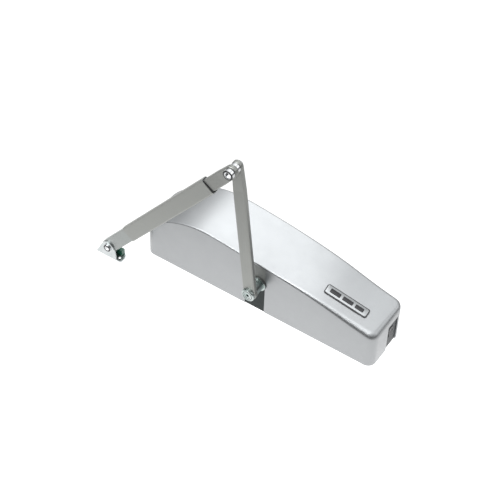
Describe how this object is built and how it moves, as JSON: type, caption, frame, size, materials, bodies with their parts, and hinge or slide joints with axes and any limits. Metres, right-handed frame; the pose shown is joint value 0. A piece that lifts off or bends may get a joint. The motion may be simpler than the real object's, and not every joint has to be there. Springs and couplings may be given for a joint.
{
  "type": "door closer",
  "caption": "Powered swing-door closer in a long bowed case, with a folding telescopic arm and a pivoting foot bracket.",
  "frame": {"origin": "centre of the base plate's wall face", "axes": "+X along the case towards the mode rocker, -Y the side the arm leaves from, +Z away from the wall"},
  "size_m": [0.6125, 0.172, 0.4063],
  "materials": {
    "silver_case": "satin silver",
    "mark_plate": "satin",
    "zinc_sheet": "zinc plated",
    "grey_insert": "moulded",
    "dark_insert": "moulded",
    "dark_panel": "moulded",
    "black_gloss": "moulded",
    "black_matte": "moulded",
    "pale_marks": "printed",
    "cast_aluminium": "as cast",
    "steel_small": "bright",
    "bearing_steel": "ground",
    "gear_steel": "oiled",
    "motor_shell": "drawn",
    "dark_iron": "laminated",
    "copper_winding": "enamelled",
    "spring_steel": "oiled",
    "nylon": "moulded",
    "board_green": "lacquered",
    "sink_aluminium": "extruded",
    "terminal_grey": "moulded",
    "soft_rubber": "moulded",
    "spindle_steel": "machined",
    "arm_paint": "satin",
    "bright_chrome": "polished",
    "green_stop": "moulded"
  },
  "bodies": {
    "housing": {"base_plate": "zinc_sheet", "front_insert_upper": "grey_insert", "front_insert_lower": "dark_insert", "rear_inserts": "dark_insert", "switch_panel": "dark_panel", "blank_panel": "dark_panel", "panel_brackets": "zinc_sheet", "rocker_housing": "black_matte", "rocker_marks": "pale_marks", "cover_catches": "zinc_sheet", "gearbox_body": "cast_aluminium", "gearbox_lid": "cast_aluminium", "drive_screws": "steel_small", "spindle_bearings": "bearing_steel", "rear_support": "cast_aluminium", "intermediate_axle": "steel_small", "motor_can": "motor_shell", "motor_magnets": "dark_iron", "motor_bell": "motor_shell", "motor_bearings": "bearing_steel", "encoder_cap": "black_gloss", "motor_cradle": "cast_aluminium", "closing_spring": "spring_steel", "spring_guide": "steel_small", "preload_ring": "steel_small", "transformer_core": "dark_iron", "transformer_coil": "copper_winding", "transformer_feet": "nylon", "control_board": "board_green", "stand_offs": "nylon", "board_parts": "black_matte", "heat_sink": "sink_aluminium", "terminals": "terminal_grey", "mains_block": "black_matte", "cable_grommet": "soft_rubber"},
    "case_cover": {"cover": "silver_case", "name_plate": "mark_plate"},
    "intermediate": {"intermediate_gear": "gear_steel"},
    "rotor": {"rotor_shaft": "steel_small", "rotor_core": "dark_iron", "rotor_pinion": "gear_steel"},
    "spring_carriage": {"rack": "gear_steel"},
    "rocker": {"mode_rocker": "black_gloss"},
    "main_link": {"spindle": "spindle_steel", "output_gear": "gear_steel", "rack_pinion": "gear_steel", "arm_hub": "spindle_steel", "hub_cap": "spindle_steel", "clamp_screw": "spindle_steel", "main_arm": "arm_paint", "elbow_pin": "bright_chrome", "elbow_collar": "bright_chrome", "elbow_nut": "bright_chrome"},
    "forearm_inner": {"inner_bar": "arm_paint"},
    "forearm_outer": {"forearm_tube": "arm_paint", "tube_screws": "steel_small", "end_fitting": "arm_paint"},
    "foot": {"foot_bracket": "zinc_sheet", "foot_pin": "bright_chrome", "foot_block": "green_stop"}
  },
  "joints": [
    {"name": "spindle_turn", "type": "hinge", "parent": "housing", "child": "main_link", "pos_m": [0.006, 0, 0.077], "axis": [0, 1, 0], "range_deg": [-50, 50]},
    {"name": "intermediate_turn", "type": "hinge", "parent": "housing", "child": "intermediate", "pos_m": [-0.0435, 0, 0.077], "axis": [0, 1, 0], "range_deg": [-134, 134]},
    {"name": "rotor_turn", "type": "hinge", "parent": "housing", "child": "rotor", "pos_m": [-0.0825, 0, 0.077], "axis": [0, 1, 0], "range_deg": [-446, 446]},
    {"name": "rack_slide", "type": "slide", "parent": "housing", "child": "spring_carriage", "axis": [0, 0, 1], "range_m": [-0.016, 0.016], "deforming": ["closing_spring"]},
    {"name": "elbow_fold", "type": "hinge", "parent": "main_link", "child": "forearm_inner", "pos_m": [-0.031, 0, 0.3935], "axis": [0, 1, 0], "range_deg": [-40, 80]},
    {"name": "forearm_extend", "type": "slide", "parent": "forearm_inner", "child": "forearm_outer", "axis": [-0.617, 0, -0.7869], "range_m": [-0.03, 0.05]},
    {"name": "foot_pivot", "type": "hinge", "parent": "forearm_outer", "child": "foot", "pos_m": [-0.3193, 0, 0.0258], "axis": [0, 1, 0], "range_deg": [-20, 80]},
    {"name": "mode_rock", "type": "hinge", "parent": "housing", "child": "rocker", "pos_m": [0.2565, 0.015, 0.041], "axis": [0, 1, 0], "range_deg": [-9, 9]},
    {"name": "cover_lift", "type": "slide", "parent": "housing", "child": "case_cover", "axis": [0, 0, 1], "range_m": [0, 0.17]}
  ],
  "couplings": [
    {"joint": "intermediate_turn", "follows": "spindle_turn", "ratio": -2.6667},
    {"joint": "rotor_turn", "follows": "spindle_turn", "ratio": 8.8889},
    {"joint": "rack_slide", "follows": "spindle_turn", "m_per_rad": -0.018}
  ]
}
